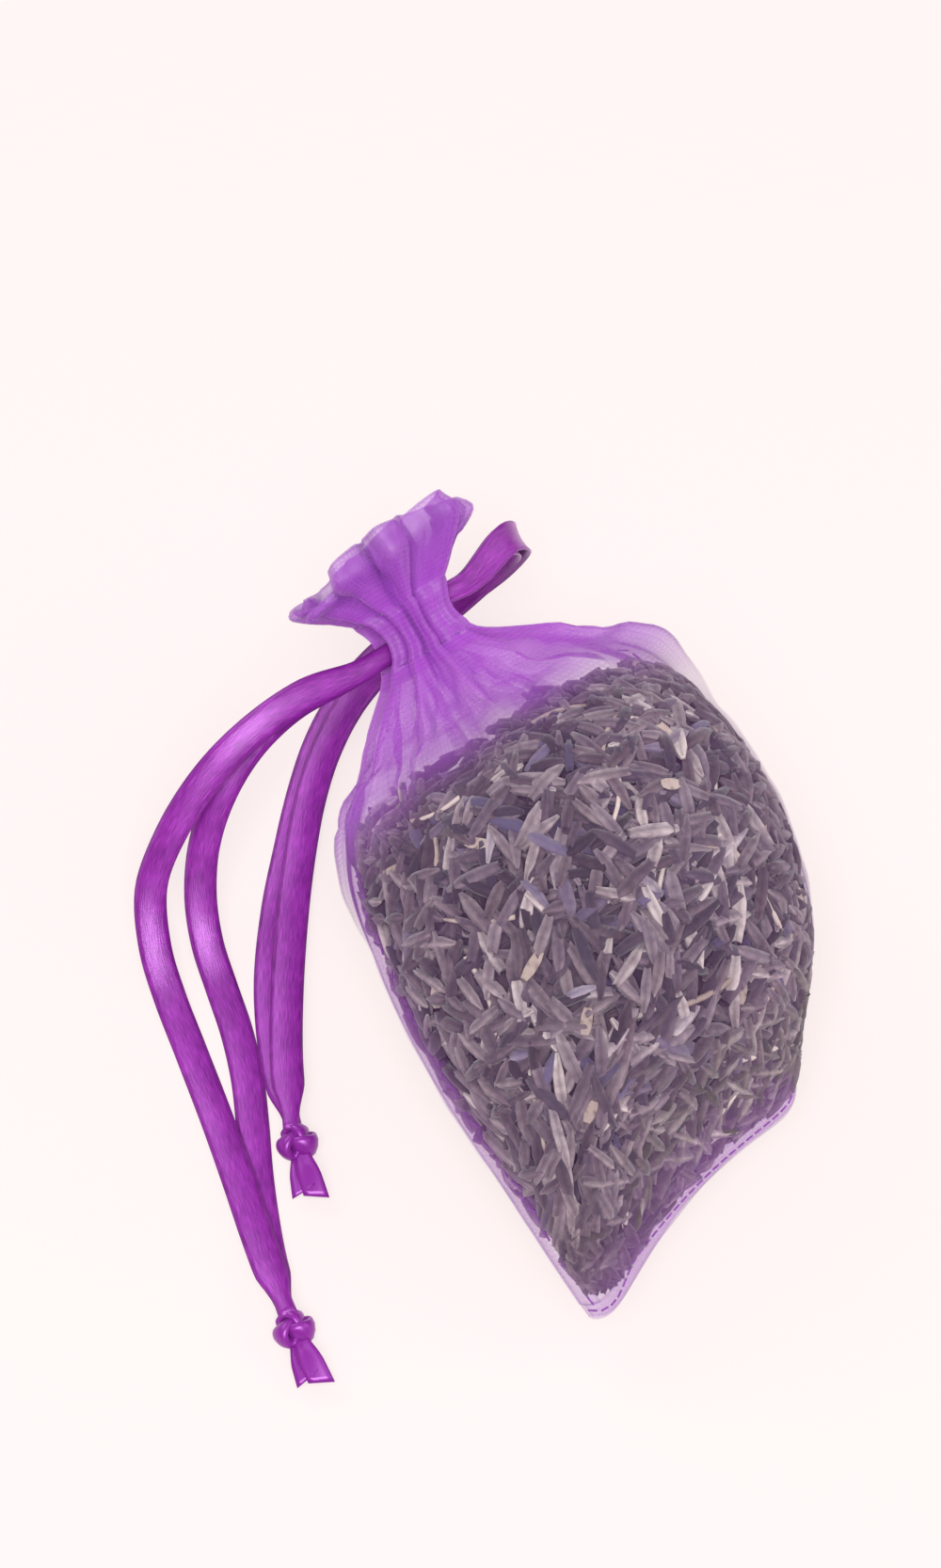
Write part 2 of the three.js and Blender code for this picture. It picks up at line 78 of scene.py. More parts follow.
neckAxis = Vector((0, math.cos(pouch["neckTilt"]), math.sin(pouch["neckTilt"])))
neckNormal = Vector((0, -math.sin(pouch["neckTilt"]), math.cos(pouch["neckTilt"])))


def smoothStep(value, low, high):
    share = min(max((value - low) / (high - low), 0), 1)
    return share * share * (3 - 2 * share)


def mix(a, b, share):
    return a + (b - a) * share


# a smooth curve from start to end, aimed by the values before and after them
def curveThrough(before, start, end, after, part):
    leave, arrive = (end - before) / 2, (after - start) / 2
    return (((2 * start - 2 * end + leave + arrive) * part
             - 3 * start + 3 * end - 2 * leave - arrive) * part + leave) * part + start


def alongBody(values, share):
    span = (len(values) - 1) * share
    step = min(int(span), len(values) - 2)
    after = values[min(step + 2, len(values) - 1)]
    return curveThrough(values[max(step - 1, 0)], values[step], values[step + 1], after, span - step)


def bodySection(share):
    gather = smoothStep(share, pouch["gatherStart"], 1)
    return {
        "centre": Vector((alongBody(seamLeans, share), pouch["bodyLength"] * share, alongBody(seamHeights, share))),
        "tilt": pouch["neckTilt"] * gather, "width": alongBody(halfWidths, share),
        "front": alongBody(frontRises, share), "back": alongBody(backRises, share),
        "slot": pouch["seamGap"], "seamFade": (1 - share) ** 2, "share": share, "heading": 0,
    }


def neckSection(height, slot=pouch["seamGap"]):
    section = bodySection(1)
    section["centre"] = section["centre"] + neckAxis * height
    section["slot"] = slot
    section["pinch"] = math.sin(math.pi * min(max(height / casingHeight, 0), 1))
    return section


def headingSection(share):
    section = neckSection(casingHeight + pouch["headingRise"] * share)
    radius = neckInside + (pouch["flareRadius"] - pouch["neckRadius"]) * share ** pouch["flarePower"]
    section.update(width=radius, front=radius, back=radius, heading=share)
    return section


# how far the bottom seam's slant, dip and round corners shift a point along the pouch
def seamCurve(section, edge):
    dip = pouch["seamDip"] * (1 - edge * edge) + pouch["cornerRound"] * edge ** 10
    return section["seamFade"] * (pouch["seamSlant"] * edge + dip)


def sectionPoint(section, side, angle, offset):
    rise = section["front"] if side > 0 else section["back"]
    facing = max(math.cos(angle), 0)
    normal = Vector((math.sin(angle) / section["width"], facing / max(rise, 0.001))).normalized()
    across = section["width"] * math.sin(angle) + offset * normal.x
    out = side * (section["slot"] + rise * facing ** pouch["sectionPower"] + offset * normal.y)
    along = seamCurve(section, across / section["width"])
    centre = section["centre"]
    height = centre.z + math.cos(section["tilt"]) * out
    return Vector((centre.x + across, centre.y + along - math.sin(section["tilt"]) * out,
                   max(height, pouch["clothThickness"] - offset)))


# the left and bottom edges of the back panel tie these sizes to the frame
bottomEdge = [sectionPoint(bodySection(0), -1, math.pi * (i / pouch["columns"] - 0.5), pouch["clothThickness"])
              for i in range(pouch["columns"] + 1)]
leftEdge = [sectionPoint(bodySection(share), -1, -rightAngle, pouch["clothThickness"])
            for share in (0, 0.04, 0.1, 0.18, 0.28, 0.4)]
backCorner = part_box("back_panel")[0] / mm
frameShift = Vector((backCorner.x - min(point.x for point in leftEdge),
                     backCorner.y - min(point.y for point in bottomEdge), 0))


def toFrame(point):
    return (Vector(point) + frameShift) * mm


# gathers: waves across a panel, uneven as hand-drawn gathers are
gathers = {
    "pleats": 5, "folds": 5, "neckHeight": 0.7, "foldHeight": 2.3, "ruffleHeight": 2.3, "budBump": 0.4,
    "bulge": 0.7, "trim": 0.15, "droop": -0.2, "sideDroop": 4, "crimp": 2.6, "crumple": 1.5, "drift": 2.6,
    "uneven": 1.3, "pinch": 1.1, "spread": 2.4, "roll": 3.6, "puff": 2, "lean": (0, 0, 0.6),
    "crumpleSize": 3.4, "crimpSize": 6.5, "bumpSize": 4.2,
}


def pleatPhase(side, angle):
    warp = (0.13 * math.sin(3 * angle + 1.7 * side) + 0.06 * math.sin(7 * angle + 0.6 * side)) * math.cos(angle)
    return 2 * gathers["pleats"] * (angle + warp)


def foldWave(side, angle):
    warp = 0.12 * math.sin(2.3 * angle + 0.9 * side) + 0.05 * math.sin(9 * angle)
    ridge = abs(math.sin(gathers["folds"] * (angle + warp) + 0.4 * side))
    return 1 - 2 * ridge ** 0.75


# above the casing the gathers open into round lobes, which droop towards the left seam
def rufflePoint(section, side, angle, depth):
    section = headingSection(section["heading"] * (1 - gathers["trim"] * abs(math.sin(angle)) ** 6))
    heading = section["heading"]
    spot = sectionPoint(section, side, angle, 0)
    # no two lobes open alike
    drift = gathers["drift"] * heading * noise.noise(Vector((1.3 * angle, 3.1 * side, 1.7)))
    phase = pleatPhase(side, angle) + drift * math.cos(angle)
    size = 1 + gathers["uneven"] * noise.noise(Vector((1.9 * angle, 2.3 * side, 6.1))) * math.cos(angle)
    wave = size * math.cos(phase)
    turned = angle + gathers["bulge"] * heading * math.sin(phase) / (2 * gathers["pleats"])
    wave += 0.2 * math.cos(3 * phase + 1.1) * math.cos(angle)
    offset = mix(gathers["neckHeight"], gathers["ruffleHeight"], heading ** 0.9) * wave
    roll = smoothStep(heading, 0.5, 1) ** 2  # the unpressed hem rolls in at the top
    offset += gathers["spread"] * math.sin(0.6 * math.pi * heading) - gathers["roll"] * roll * (0.7 + 0.3 * wave)
    offset += gathers["crumple"] * heading * noise.noise(spot / gathers["crumpleSize"])
    swell = noise.noise(spot / gathers["crimpSize"] + Vector((0, 0, 4)))
    sides = gathers["sideDroop"] * math.sin(angle) ** 2 * smoothStep(-math.sin(angle), -1, 1)
    rise = heading ** 2 * (gathers["crimp"] * swell - gathers["droop"] * wave - sides)
    lean = Vector(gathers["lean"]) * heading ** 1.5
    return sectionPoint(section, side, turned, offset - depth) + neckAxis * rise + lean


# the right shoulder stands out where it runs into the neck
def puffAt(share, angle):
    along = smoothStep(share, 0.7, 0.86) * (1 - smoothStep(share, 0.92, 1))
    return gathers["puff"] * along * smoothStep(math.sin(angle), 0, 1)


def clothPoint(section, side, angle, depth=0):
    if section["heading"] > 0:
        return rufflePoint(section, side, angle, depth)
    share = section["share"]
    spot = sectionPoint(section, side, angle, 0)
    edgeFade = smoothStep(math.cos(angle), 0, 0.25)
    phase = pleatPhase(side, angle)
    size = 1 + 0.3 * math.sin(5 * angle + 2.1 * side) * math.cos(angle)
    pleat = gathers["neckHeight"] * smoothStep(share, 0.66, 1) ** 2
    fold = gathers["foldHeight"] * smoothStep(share, 0.6, 0.86) * (1 - smoothStep(share, 0.88, 1))
    bump = gathers["budBump"] * (1 - smoothStep(share, 0.72, 0.86)) * edgeFade
    offset = pleat * (size * math.cos(phase) + 0.4 * math.cos(3 * phase) * math.cos(angle))
    offset += fold * foldWave(side, angle) * edgeFade + bump * noise.noise(spot / gathers["bumpSize"])
    offset += puffAt(share, angle) - gathers["pinch"] * section.get("pinch", 0)
    return sectionPoint(section, side, angle, offset - depth)


# colours are written as sRGB hex and used as linear light
def hexColour(text):
    parts = [int(text[i:i + 2], 16) / 255 for i in (1, 3, 5)]
    return tuple(c / 12.92 if c <= 0.04045 else ((c + 0.055) / 1.055) ** 2.4 for c in parts) + (1,)


# an input is a value, a socket, or a node that gives its first output
def addNode(tree, kind, inputs=None, **settings):
    node = tree.nodes.new("ShaderNode" + kind)
    for name, value in settings.items():
        setattr(node, name, value)
    for key, value in (inputs or {}).items():
        if isinstance(value, bpy.types.Node):
            value = value.outputs[0]
        if isinstance(value, bpy.types.NodeSocket):
            tree.links.new(value, node.inputs[key])
        else:
            node.inputs[key].default_value = value
    return node


def newMaterial(name):
    material = bpy.data.materials.new(name)
    material.use_nodes = True
    material.node_tree.nodes.clear()
    return material, partial(addNode, material.node_tree)


def setRamp(node, stops):
    ramp = node.color_ramp
    while len(ramp.elements) < len(stops):
        ramp.elements.new(0.5)
    for element, (place, colour) in zip(ramp.elements, stops):
        element.position = place
        element.color = hexColour(colour)
    return node


# organza: sheer plain-woven polyester filament, so the gaps between the yarns show what lies behind
organzaLook = {"yarnGap": 0.55, "slubs": 0.35, "sheer": (0.03, 0.38), "grid": (0.75, 1.15), "grazing": 1.6}


def organzaWeave():
    material, add = newMaterial("Organza, violet dyed, plain weave")
    uv = add("UVMap", uv_map="cloth")
    split = add("SeparateXYZ", {0: uv})
    turnsPerMm = fullTurn / organzaLook["yarnGap"]
    yarns = []
    for axis in (0, 1):  # the real yarns lie 0.25 mm apart, drawn 0.55 mm apart so that they show
        turns = add("Math", {0: split.outputs[axis], 1: turnsPerMm}, operation="MULTIPLY")
        wave = add("Math", {0: turns}, operation="SINE")
        yarns.append(add("Math", {0: wave, 1: 0.5, 2: 0.5}, operation="MULTIPLY_ADD"))
    weave = add("Math", {0: yarns[0], 1: yarns[1]}, operation="MAXIMUM")
    gather = add("Attribute", attribute_name="gather").outputs["Fac"]
    slubs = add("TexNoise", {"Vector": uv, "Scale": organzaLook["slubs"], "Detail": 3})
    tone = add("Math", {0: gather, 1: 0.7}, operation="MULTIPLY")
    tone = add("Math", {0: slubs, 1: 0.3, 2: tone}, operation="MULTIPLY_ADD")
    colour = setRamp(add("ValToRGB", {0: tone}), [(0.1, "#8C5C9A"), (0.45, "#A454C0"), (0.95, "#B256CC")])
    thin, close = organzaLook["sheer"]
    gap, yarn = organzaLook["grid"]
    sheer = add("MapRange", {0: gather, 3: thin, 4: close})
    grid = add("MapRange", {0: weave, 3: gap, 4: yarn})
    alpha = add("Math", {0: sheer, 1: grid}, operation="MULTIPLY")
    graze = add("LayerWeight", {"Blend": 0.5})  # more yarn is crossed at a grazing look
    dense = add("Math", {0: graze.outputs["Facing"], 1: organzaLook["grazing"], 2: 1}, operation="MULTIPLY_ADD")
    alpha = add("Math", {0: alpha, 1: dense}, operation="MULTIPLY", use_clamp=True)
    bump = add("Bump", {"Height": weave, "Strength": 0.2, "Distance": 0.1 * mm})
    shader = add("BsdfPrincipled", {
        "Base Color": colour, "Alpha": alpha, "Normal": bump,
        "Roughness": 0.42, "IOR": 1.5, "Sheen Weight": 0.25, "Sheen Roughness": 0.35,
        "Sheen Tint": hexColour("#D9A6F2"), "Specular IOR Level": 0.5})
    add("OutputMaterial", {0: shader})
    return material


# satin: long floats of shiny filament along the ribbon, so highlights stretch across it
satinLook = {"stretch": (9, 0.6, 1), "patches": 0.22}


def satinWeave():
    material, add = newMaterial("Polyester satin ribbon, magenta violet")
    uv = add("UVMap", uv_map="cloth")
    stretch = add("Mapping", {"Vector": uv, "Scale": satinLook["stretch"]})
    floats = add("TexNoise", {"Vector": stretch, "Scale": 1, "Detail": 4})
    patches = add("TexNoise", {"Vector": uv, "Scale": satinLook["patches"], "Detail": 2})
    tone = add("Math", {0: floats, 1: 0.7}, operation="MULTIPLY")
    tone = add("Math", {0: patches, 1: 0.3, 2: tone}, operation="MULTIPLY_ADD")
    colour = setRamp(add("ValToRGB", {0: tone}), [(0.3, "#5C1068"), (0.5, "#7E1E8C"), (0.7, "#A034AE")])
    bump = add("Bump", {"Height": floats, "Strength": 0.35, "Distance": 0.1 * mm})
    shader = add("BsdfPrincipled", {
        "Base Color": colour, "Normal": bump, "Metallic": 0.2, "Roughness": 0.33,
        "Anisotropic": 0.5, "Sheen Weight": 0.2, "Sheen Roughness": 0.3, "Sheen Tint": hexColour("#F0B8F4")})
    add("OutputMaterial", {0: shader})
    return material


# dried lavender: ribbed, downy calyx, grey mauve, a few of them blue, its down 0.9 mm apart; its ribs are painted
# paler as a highlight and the grooves between them darker as painted shade
def driedCalyx():
    material, add = newMaterial("Dried lavender calyx, downy")
    # the tone attribute holds each bud's own random tone together with painted shade on deeper buds
    tone, along, rib, blue = (add("Attribute", attribute_name=name).outputs["Fac"]
                              for name in ("tone", "along", "rib", "blue"))
    place = add("TexCoord").outputs["Object"]
    down = add("TexNoise", {"Vector": place, "Scale": 1 / (0.9 * mm), "Detail": 4})
    value = add("Math", {0: down, 1: 0.5, 2: tone}, operation="MULTIPLY_ADD")
    value = add("Math", {0: along, 1: -0.16, 2: value}, operation="MULTIPLY_ADD")
    colour = setRamp(add("ValToRGB", {0: value}),
                     [(0.05, "#281E24"), (0.3, "#4C3D43"), (0.5, "#6A5A60"), (0.7, "#8C7D80"), (0.95, "#C4B6B3")])
    # painted highlight on the ribs and painted shade in the grooves between them
    shade = add("MapRange", {0: rib, 3: 0.5, 4: 1.12})
    colour = add("VectorMath", {0: colour, "Scale": shade}, operation="SCALE")
    tint = add("Mix", {0: blue, 6: colour, 7: hexColour("#5F587C")}, data_type="RGBA")
    bump = add("Bump", {"Height": down, "Strength": 0.5, "Distance": 0.3 * mm})
    shader = add("BsdfPrincipled", {
        "Base Color": tint.outputs[2], "Normal": bump, "Roughness": 0.8,
        "Sheen Weight": 0.25, "Sheen Roughness": 0.5, "Specular IOR Level": 0.3})
    add("OutputMaterial", {0: shader})
    return material


# grained stuff: noise as large as the real grain, in millimetres, gives both its colour and its relief
def grained(name, look):
    material, add = newMaterial(name)
    tone = add("Attribute", attribute_name="tone").outputs["Fac"]
    place = add("TexCoord").outputs["Object"]
    grain = add("TexNoise", {"Vector": place, "Scale": 1 / (look["grain"] * mm), "Detail": look["detail"]})
    value = add("Math", {0: grain, 1: look["contrast"], 2: tone}, operation="MULTIPLY_ADD")
    colour = setRamp(add("ValToRGB", {0: value}), look["colours"])
    relief, depth = look["relief"]
    bump = add("Bump", {"Height": grain, "Strength": relief, "Distance": depth * mm})
    shader = add("BsdfPrincipled", {
        "Base Color": colour, "Normal": bump, "Roughness": look["roughness"], "Sheen Weight": look["sheen"]})
    add("OutputMaterial", {0: shader})
    return material


# sewing thread: polyester, matt, its twist seen as short slanting plies
thread = grained("Polyester sewing thread, twisted", {
    "grain": 0.4, "detail": 2, "contrast": 1, "colours": [(0.3, "#5A1272"), (0.7, "#8A2FA6")],
    "relief": (0.3, 0.1), "roughness": 0.6, "sheen": 0.3})
# dry stems and petal shreds: straw coloured, split along the grain
straw = grained("Dry lavender stem, straw", {
    "grain": 0.7, "detail": 3, "contrast": 0.4, "colours": [(0.1, "#7E6E66"), (0.5, "#A5948A"), (0.95, "#CDBFB7")],
    "relief": (0.3, 0.2), "roughness": 0.7, "sheen": 0})
# the middle of the heap: crumbs painted dark as shade, seen only in the gaps between buds
crumbs = grained("Lavender heap, shaded crumbs", {
    "grain": 2, "detail": 5, "contrast": 1, "colours": [(0.3, "#2A2127"), (0.7, "#54454C")],
    "relief": (0.8, 0.8), "roughness": 0.9, "sheen": 0})
organza, satin, calyx = organzaWeave(), satinWeave(), driedCalyx()
print("materials ready")


def thicken(piece, thickness):
    wall = piece.modifiers.new("clothThickness", "SOLIDIFY")
    wall.thickness = thickness * mm
    wall.offset = 0


def meshFrom(bm, name):
    mesh = bpy.data.meshes.new(name)
    bm.to_mesh(mesh)
    bm.free()
    return mesh


def finishPiece(bm, name, body, material, replaced=(), thickness=0):
    mesh = meshFrom(bm, name)
    piece = bpy.data.objects.new(name, mesh)
    scene.collection.objects.link(piece)
    mesh.materials.append(material)
    mesh.polygons.foreach_set("use_smooth", [True] * len(mesh.polygons))
    if thickness:
        thicken(piece, thickness)
    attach(piece, body)
    if replaced:
        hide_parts(*replaced)
    return piece


# a flat grid of cloth, laid where place(u, v) says; uv counts millimetres of cloth
def clothGrid(columns, rows, width, length, place, shares=None):
    bm = bmesh.new()
    bmesh.ops.create_grid(bm, x_segments=columns, y_segments=rows, size=0.5)
    uvLayer = bm.loops.layers.uv.new("cloth")
    layers = {bm.verts.layers.float.new(key): value for key, value in (shares or {}).items()}
    flat = {vert: (vert.co.x + 0.5, vert.co.y + 0.5) for vert in bm.verts}
    for face in bm.faces:
        for loop in face.loops:
            u, v = flat[loop.vert]
            loop[uvLayer].uv = (u * width, v * length)
    for vert, (u, v) in flat.items():
        vert.co = toFrame(place(u, v))
        for layer, share in layers.items():
            vert[layer] = share(u, v)
    return bm


# one panel of organza: up the outside to the ruffle's edge, folded there and hemmed down inside
panel = {
    "columns": 168, "body": 78, "heading": 9.8, "hemTurn": 2, "hemDepth": 0.35, "hemPuff": 0.8, "bunch": 1.4,
    "softFold": 0.5, "rowLength": 0.75, "thickness": 0.12, "flatWidth": 63,
    "gatherStart": 0.62, "gatherPower": 1.4, "ruffleGather": 0.46, "pucker": 0.2, "puckerReach": 7,
}
casingTop = panel["body"] + casingHeight
upLength = casingTop + panel["heading"]
sheetLength = upLength + panel["heading"] + casingHeight + panel["hemTurn"]


# how high on the panel a place of the sheet lies, on the outside or on the hem
def upAt(distance):
    return distance if distance < upLength else 2 * upLength - distance


def clothStation(distance):
    up, soft = upAt(distance), panel["softFold"]
    fold = smoothStep(distance, upLength - soft, upLength + soft)
    if up < panel["body"]:
        return bodySection(up / panel["body"]), fold * panel["hemDepth"]
    up -= panel["body"]
    if up < casingHeight:
        slit = smoothStep(up, 0, soft) * (1 - smoothStep(up, casingHeight - soft, casingHeight))
        depth = mix(panel["hemDepth"], tunnelDepth + panel["bunch"], slit)  # the drawn hem fills the neck
        return neckSection(up, mix(pouch["seamGap"], slotHalfWidth, slit)), fold * depth
    share = min((up - casingHeight) / panel["heading"], 1)
    return headingSection(share), fold * (panel["hemDepth"] + panel["hemPuff"] * math.sin(math.pi * share))


# how closely the cloth is gathered: at the neck, less in the ruffle, and a little where the seams pucker it
def gatherAt(u, v):
    up = upAt(v * sheetLength)
    toNeck = smoothStep(up, panel["gatherStart"] * panel["body"], panel["body"]) ** panel["gatherPower"]
    drawn = toNeck * mix(1, panel["ruffleGather"], smoothStep(up, casingTop, upLength))
    toSeam = min(min(u, 1 - u) * panel["flatWidth"], up)
    return max(drawn, panel["pucker"] * (1 - smoothStep(toSeam, 0, panel["puckerReach"])))


# a little cloth simulation: the free cloth is longer than its place by the slack, so that it buckles and
# settles under its own weight; the settled shape is kept and the modifier removed
drape = {
    "frames": 14, "slack": 0.03, "ruffleSlack": 0.14, "gravity": 0.5, "floorGap": 0.1, "smoothing": 1,
    "quality": 6, "mass": 0.002, "stretch": 6, "shear": 3, "bending": 0.02,
    "heldBody": (0.8, 0.86), "heldNeck": (0.93, 0.98), "heldAbove": 2.5, "sideEdge": 0.004, "slackAbove": 3,
}


# how firmly the cloth is held: by the lavender under it, the side seams and the drawn casing
def heldAt(u, v):
    up = upAt(v * sheetLength)
    bodyLow, bodyHigh = (share * panel["body"] for share in drape["heldBody"])
    neckLow, neckHigh = (share * panel["body"] for share in drape["heldNeck"])
    neck = smoothStep(up, neckLow, neckHigh) * (1 - smoothStep(up, casingTop, casingTop + drape["heldAbove"]))
    sides = 1 if min(u, 1 - u) < drape["sideEdge"] else 0
    return max(1 - smoothStep(up, bodyLow, bodyHigh), neck, sides)


# the ruffle has more spare cloth than the shoulders
def slackAt(u, v):
    return smoothStep(upAt(v * sheetLength), casingTop, casingTop + drape["slackAbove"])


def letSettle(piece):
    for name in ("held", "slack"):
        group = piece.vertex_groups.new(name=name)
        for vert, share in enumerate(piece.data.attributes[name].data):
            group.add([vert], share.value, "REPLACE")
    cloth = piece.modifiers.new("drape", "CLOTH")
    cloth.settings.quality = drape["quality"]
    cloth.settings.mass = drape["mass"]
    cloth.settings.tension_stiffness = drape["stretch"]
    cloth.settings.compression_stiffness = drape["stretch"]
    cloth.settings.shear_stiffness = drape["shear"]
    cloth.settings.bending_stiffness = drape["bending"]
    cloth.settings.shrink_min = -drape["slack"]
    cloth.settings.shrink_max = -drape["ruffleSlack"]
    cloth.settings.vertex_group_shrink = "slack"
    cloth.settings.vertex_group_mass = "held"
    cloth.settings.effector_weights.gravity = drape["gravity"]
    cloth.collision_settings.use_collision = False
    cloth.point_cache.frame_start = 1
    cloth.point_cache.frame_end = drape["frames"]
    for step in range(1, drape["frames"] + 1):
        scene.frame_set(step)
    settled = piece.evaluated_get(bpy.context.evaluated_depsgraph_get()).data
    points = [0.0] * (3 * len(settled.vertices))
    settled.vertices.foreach_get("co", points)
    points[2::3] = [max(height, drape["floorGap"] * mm) for height in points[2::3]]
    piece.modifiers.remove(cloth)
    scene.frame_set(1)
    piece.data.vertices.foreach_set("co", points)
    bm = bmesh.new()
    bm.from_mesh(piece.data)
    held, slack = (bm.verts.layers.float[name] for name in ("held", "slack"))
    shoulders = [vert for vert in bm.verts if vert[held] < 0.5 and vert[slack] < 0.5]
    for _ in range(drape["smoothing"]):  # takes out creases sharper than the cloth can hold
        bmesh.ops.smooth_vert(bm, verts=shoulders, factor=0.5, use_axis_x=True, use_axis_y=True, use_axis_z=True)
    bm.to_mesh(piece.data)
    bm.free()


def organzaPanel(name, side, node):
    rows = round(sheetLength / panel["rowLength"])
    stations = [clothStation(sheetLength * row / rows) for row in range(rows + 1)]

    def place(u, v):
        section, depth = stations[round(v * rows)]
        angle = side * mix(-rightAngle, rightAngle, u)
        return clothPoint(section, side, angle, depth - pouch["clothThickness"] / 2)

    cloth = clothGrid(panel["columns"], rows, panel["flatWidth"], sheetLength, place,
                      {"gather": gatherAt, "held": heldAt, "slack": slackAt})
    piece = finishPiece(cloth, name, "pouch", organza, [node])
    letSettle(piece)
    thicken(piece, panel["thickness"])
    return piece


frontOrganza = organzaPanel("frontOrganza", 1, "front_panel")
backOrganza = organzaPanel("backOrganza", -1, "back_panel")
print("organza panels sewn")


# free ribbon: the same routes as the solids, in millimetres of the pouch
ribbon = {"thickness": 0.22, "columns": 6, "rowLength": 0.9, "perSpan": 12, "cup": 0.3, "ripple": 0.06,
          "intoKnot": 1.9, "drawnIn": 0.5, "drawnFrom": 6, "drawnTo": 1.5}
tailRoutes = {
    "leftFrontTail": [
        (-19, 69.8, 20.4), (-25.6, 69.7, 19.4), (-31.6, 69.3, 16.4), (-37.2, 68.2, 11.8), (-41.5, 66.2, 7),
        (-44.2, 61.8, 3.2), (-45.8, 56.6, 1.2), (-47.2, 50.7, 0.5), (-48.7, 44.7, 0.6), (-50.3, 38.8, 1.2),
        (-51.9, 33.2, 1.45), (-53.4, 28.1, 1.6), (-54.7, 23.4, 2.1), (-55.6, 19.6, 2.85)],
    "leftBackTail": [
        (-19, 70.2, 19.2), (-25.1, 69.7, 17.6), (-30.1, 68.5, 14.2), (-34.2, 66.4, 9.8), (-37.1, 63.4, 5.6),
        (-39.1, 59.4, 2.4), (-40.5, 54.5, 0.8), (-42, 49.3, 0.45), (-44.1, 44, 0.45), (-46.7, 39, 0.45),
        (-49.5, 34, 0.45), (-52, 29, 0.55), (-54.1, 24.2, 1.1), (-55.6, 19.6, 1.95)],
    "rightFrontTail": [
        (10.6, 73.6, 20.6), (13.5, 74.8, 17), (14.1, 76.5, 12.2), (12.6, 78.3, 7.2), (8.3, 79.9, 2.9),
        (2.5, 80.3, 0.8), (-3.5, 79.5, 0.45), (-9.2, 77.4, 0.45), (-14.5, 74.2, 0.45), (-19.5, 70, 0.45),
        (-24.8, 64.8, 0.45), (-30.5, 58.8, 0.45), (-36, 51.8, 0.5), (-40.4, 44, 0.9), (-43.2, 36.8, 1.95)],
    "rightBackTail": [
        (10.3, 74.1, 19.4), (12.5, 75.2, 16.2), (12.9, 76.7, 12), (11.4, 78, 7.9), (7.7, 78.9, 4.2),
        (2.5, 78.9, 2.2), (-3.5, 77.9, 1.5), (-9.2, 75.8, 1.4), (-14.5, 72.6, 1.4), (-19.5, 68.4, 1.4),
        (-24.4, 63.2, 1.4), (-29.5, 57.1, 1.4), (-34.6, 50.4, 1.45), (-39.4, 43.4, 1.9), (-43.2, 36.8, 2.85)],
}


def catmullRom(points, perSpan):
    ends = [points[0] * 2 - points[1]] + points + [points[-1] * 2 - points[-2]]
    line = [curveThrough(*ends[i - 1:i + 3], k / perSpan) for i in range(1, len(ends) - 2) for k in range(perSpan)]
    return line + [points[-1]]


def evenly(line, step):
    lengths = [0]
    for a, b in zip(line, line[1:]):
        lengths.append(lengths[-1] + (b - a).length)
    count = round(lengths[-1] / step)
    found, at = [], 0
    for i in range(count + 1):
        wanted = lengths[-1] * i / count
        while at < len(line) - 2 and lengths[at + 1] < wanted:
            at += 1
        span = max(lengths[at + 1] - lengths[at], 1e-9)
        found.append(line[at].lerp(line[at + 1], (wanted - lengths[at]) / span))
    return found, lengths[-1]


def tailLine(name):
    sign = -1 if name.startswith("left") else 1
    layer = 1 if "Front" in name else -1
    height = leftRibbonHeight if sign < 0 else rightRibbonHeight
    stack = layer * (pouch["ribbonThickness"] + pouch["clearance"]) / 2
    middle = neckSection(height)["centre"] + neckNormal * stack
    reaches = [neckInside - pouch["pullTravel"] - pouch["clearance"], pouch["neckRadius"],
               pouch["neckRadius"] + pouch["ribbonWidth"]]
    straight = [middle + Vector((sign * reach, 0, 0)) for reach in reaches]
    route = [Vector(p) for p in tailRoutes[name]]
    heading = (route[-1] - route[-2]).normalized()
    inKnot = route[-1] + heading * ribbon["intoKnot"]
    return evenly(catmullRom(straight + route + [inKnot], ribbon["perSpan"]), ribbon["rowLength"])


# creased at the slit, flat and open on its way, and drawn in again at the knot
def ribbonTail(name, node, body):
    line, length = tailLine(name)
    rows = len(line) - 1
    up = Vector((0, 0, 1))
    frames = []
    for i, point in enumerate(line):
        tangent = (line[min(i + 1, rows)] - line[max(i - 1, 0)]).normalized()
        across = neckAxis.lerp(tangent.cross(up).normalized(), smoothStep(i / rows, 0.3, 0.5))
        across = (across - tangent * across.dot(tangent)).normalized()
        gone = i / rows * length
        opening = smoothStep(gone, pouch["neckRadius"], pouch["neckRadius"] + 3 * pouch["ribbonWidth"])
        toKnot = smoothStep(gone, length - ribbon["drawnFrom"], length - ribbon["drawnTo"])
        frames.append((point, across, tangent.cross(across), (1 - ribbon["drawnIn"] * toKnot)
                       * mix(pouch["creasedWidth"], pouch["ribbonWidth"], opening)))

    def place(u, v):
        point, across, normal, width = frames[round(v * rows)]
        cup = ribbon["cup"] * (4 * (u - 0.5) ** 2 - 0.5) + ribbon["ripple"] * noise.noise(point * 0.35)
        spot = point + across * (width * (u - 0.5)) + normal * cup
        spot.z = max(spot.z, ribbon["thickness"] / 2)
        return spot

    cloth = clothGrid(ribbon["columns"], rows, pouch["ribbonWidth"], length, place)
    piece = finishPiece(cloth, name, body, satin, [node], ribbon["thickness"])
    start = round(pouch["neckRadius"] / length * rows)
    toFrame(line[start])
    [toFrame(p) for p in line]


# overhand knot: the ribbon's own loop swept flat, pulled tight, with two cut ends
knot = {"reach": 2.3, "bandWidth": 2.6, "bandThickness": 1.2, "steps": 84, "segments": 10, "sink": 0.5,
        "length": 5.4, "diameter": 4.8, "cutEnd": 5.2, "tucked": 1.8, "splay": 0.1, "rise": 0.04,
        "cutWidth": (0.45, 0.72), "overFloor": 0.4}


